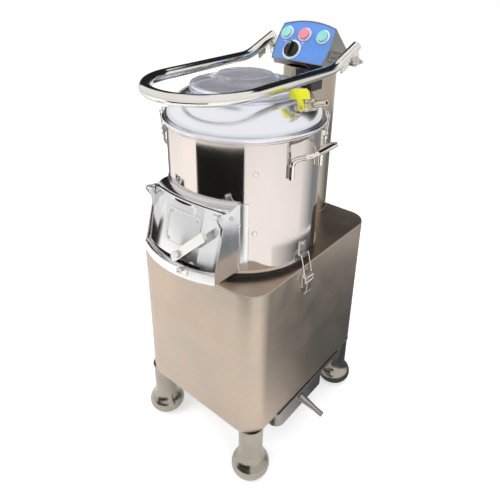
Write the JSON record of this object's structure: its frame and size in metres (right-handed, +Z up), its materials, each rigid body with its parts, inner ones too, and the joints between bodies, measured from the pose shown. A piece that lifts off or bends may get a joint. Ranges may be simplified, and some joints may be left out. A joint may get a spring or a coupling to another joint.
{
  "type": "electric potato peeler",
  "caption": "Floor-standing batch vegetable peeler: polished drum with abrasive disc, domed lid, outlet door, guard bar, rear control column, cabinet on round feet and a waste tray.",
  "frame": {"origin": "on the floor under the middle of the machine's plan", "axes": "+X to the machine's right, +Y to the back where the column is, +Z up"},
  "size_m": [0.4932, 0.5982, 1.0899],
  "materials": {
    "brushed_sheet": "satin",
    "polished_sheet": "polished",
    "foot_metal": "satin",
    "inner_steel": "satin",
    "wire_steel": "polished",
    "iron": "rough",
    "motor_paint": "satin",
    "rubber_black": "matte",
    "grit": "rough",
    "box_plastic": "matte",
    "black_plastic": "matte",
    "panel_blue": "satin",
    "white_plastic": "gloss",
    "button_green": "gloss",
    "button_red": "gloss",
    "clear_plastic": "clear",
    "valve_metal": "satin",
    "lever_yellow": "gloss"
  },
  "bodies": {
    "machine": {"cabinet_shell": "brushed_sheet", "base_frame": "inner_steel", "leg_tubes": "polished_sheet", "bell_feet": "foot_metal", "rear_cover": "inner_steel", "cover_screws": "inner_steel", "cable_gland": "rubber_black", "drum_base": "inner_steel", "seal_ring": "rubber_black", "bearing_housing": "iron", "shaft_bearings": "inner_steel", "shaft_seal": "rubber_black", "motor": "motor_paint", "motor_plate": "inner_steel", "drive_belt": "rubber_black", "electrical_box": "box_plastic", "column": "brushed_sheet", "control_box": "brushed_sheet", "control_panel": "panel_blue", "panel_rings": "white_plastic", "switch_blocks": "box_plastic", "guard_switch": "black_plastic", "bar_pivots": "inner_steel", "drum_shell": "polished_sheet", "abrasive_liner": "grit", "liner_bolts": "inner_steel", "drum_handles": "polished_sheet", "discharge_hood": "polished_sheet", "lock_catch": "inner_steel", "strike_hooks": "inner_steel", "latch_plates": "inner_steel", "lid_shell": "polished_sheet", "water_valve": "valve_metal"},
    "rotor": {"main_shaft": "inner_steel", "abrasive_disc": "grit", "disc_nut": "inner_steel", "large_pulley": "iron"},
    "motor_rotor": {"motor_shaft": "inner_steel", "small_pulley": "iron"},
    "cover": {"clear_cover": "clear_plastic"},
    "guard": {"guard_bar": "polished_sheet"},
    "door": {"discharge_door": "polished_sheet", "door_plate": "polished_sheet", "door_pins": "inner_steel"},
    "door_handle": {"door_lever": "polished_sheet"},
    "right_latch": {"latch_lever_right": "inner_steel"},
    "right_bail": {"latch_bail_right": "wire_steel"},
    "left_latch": {"latch_lever_left": "inner_steel"},
    "left_bail": {"latch_bail_left": "wire_steel"},
    "right_clip": {"clip_lever_right": "inner_steel"},
    "right_wire": {"clip_wire_right": "wire_steel"},
    "left_clip": {"clip_lever_left": "inner_steel"},
    "left_wire": {"clip_wire_left": "wire_steel"},
    "start": {"start_button": "button_green"},
    "stop": {"stop_button": "button_red"},
    "jog": {"jog_button": "button_green"},
    "timer": {"timer_knob": "black_plastic"},
    "valve_handle": {"valve_lever": "lever_yellow"},
    "tray": {"drain_tray": "inner_steel"}
  },
  "joints": [
    {"name": "disc_spin", "type": "hinge", "parent": "machine", "child": "rotor", "pos_m": [-0.0185, -0.03475, 0.614], "axis": [0, 0, 1], "continuous": true},
    {"name": "motor_spin", "type": "hinge", "parent": "machine", "child": "motor_rotor", "pos_m": [-0.0185, 0.16125, 0.324], "axis": [0, 0, 1], "continuous": true},
    {"name": "guard_swing", "type": "hinge", "parent": "machine", "child": "guard", "pos_m": [-0.0185, 0.22975, 1.006], "axis": [-1, 0, 0], "range_deg": [0, 75]},
    {"name": "cover_lift", "type": "slide", "parent": "machine", "child": "cover", "axis": [0, 0, 1], "range_m": [0, 0.1]},
    {"name": "door_swing", "type": "hinge", "parent": "machine", "child": "door", "pos_m": [-0.0185, -0.23892, 0.75198], "axis": [-1, 0, 0], "range_deg": [0, 75]},
    {"name": "door_lever_turn", "type": "hinge", "parent": "door", "child": "door_handle", "pos_m": [0.0045, -0.2774, 0.65036], "axis": [0, -0.9686, 0.2487], "range_deg": [0, 80]},
    {"name": "right_latch_turn", "type": "hinge", "parent": "machine", "child": "right_latch", "pos_m": [0.1875, -0.03475, 0.55], "axis": [0, -1, 0], "range_deg": [0, 80]},
    {"name": "right_bail_turn", "type": "hinge", "parent": "right_latch", "child": "right_bail", "pos_m": [0.1875, -0.03475, 0.536], "axis": [0, -1, 0], "range_deg": [-65, 0]},
    {"name": "left_latch_turn", "type": "hinge", "parent": "machine", "child": "left_latch", "pos_m": [-0.2245, -0.03475, 0.55], "axis": [0, 1, 0], "range_deg": [0, 80]},
    {"name": "left_bail_turn", "type": "hinge", "parent": "left_latch", "child": "left_bail", "pos_m": [-0.2245, -0.03475, 0.536], "axis": [0, 1, 0], "range_deg": [-65, 0]},
    {"name": "right_clip_turn", "type": "hinge", "parent": "machine", "child": "right_clip", "pos_m": [0.13043, 0.08161, 0.8656], "axis": [0.6157, -0.788, 0], "range_deg": [0, 75]},
    {"name": "right_wire_turn", "type": "hinge", "parent": "right_clip", "child": "right_wire", "pos_m": [0.13043, 0.08161, 0.8556], "axis": [0.6157, -0.788, 0], "range_deg": [-90, 0]},
    {"name": "left_clip_turn", "type": "hinge", "parent": "machine", "child": "left_clip", "pos_m": [-0.16743, -0.15111, 0.8656], "axis": [-0.6157, 0.788, 0], "range_deg": [0, 75]},
    {"name": "left_wire_turn", "type": "hinge", "parent": "left_clip", "child": "left_wire", "pos_m": [-0.16743, -0.15111, 0.8556], "axis": [-0.6157, 0.788, 0], "range_deg": [-90, 0]},
    {"name": "start_press", "type": "slide", "parent": "machine", "child": "start", "axis": [0, 0.8387, -0.5446], "range_m": [0, 0.004], "stiffness_N_per_m": 400},
    {"name": "stop_press", "type": "slide", "parent": "machine", "child": "stop", "axis": [0, 0.8387, -0.5446], "range_m": [0, 0.004], "stiffness_N_per_m": 400},
    {"name": "jog_press", "type": "slide", "parent": "machine", "child": "jog", "axis": [0, 0.8387, -0.5446], "range_m": [0, 0.004], "stiffness_N_per_m": 400},
    {"name": "timer_turn", "type": "hinge", "parent": "machine", "child": "timer", "pos_m": [-0.0445, 0.17746, 1.01964], "axis": [0, 0.8387, -0.5446], "range_deg": [0, 300]},
    {"name": "valve_turn", "type": "hinge", "parent": "machine", "child": "valve_handle", "pos_m": [0.15707, -0.04703, 0.9596], "axis": [0.0698, 0.9976, 0], "range_deg": [0, 90]},
    {"name": "tray_slide", "type": "slide", "parent": "machine", "child": "tray", "axis": [1, 0, 0], "range_m": [0, 0.3]}
  ],
  "couplings": [
    {"joint": "motor_spin", "follows": "disc_spin", "ratio": 3.7037},
    {"joint": "cover_lift", "follows": "guard_swing", "m_per_rad": 0.075},
    {"joint": "right_bail_turn", "follows": "right_latch_turn", "ratio": -0.81},
    {"joint": "right_wire_turn", "follows": "right_clip_turn", "ratio": -1.1887},
    {"joint": "left_bail_turn", "follows": "left_latch_turn", "ratio": -0.81},
    {"joint": "left_wire_turn", "follows": "left_clip_turn", "ratio": -1.1887}
  ]
}
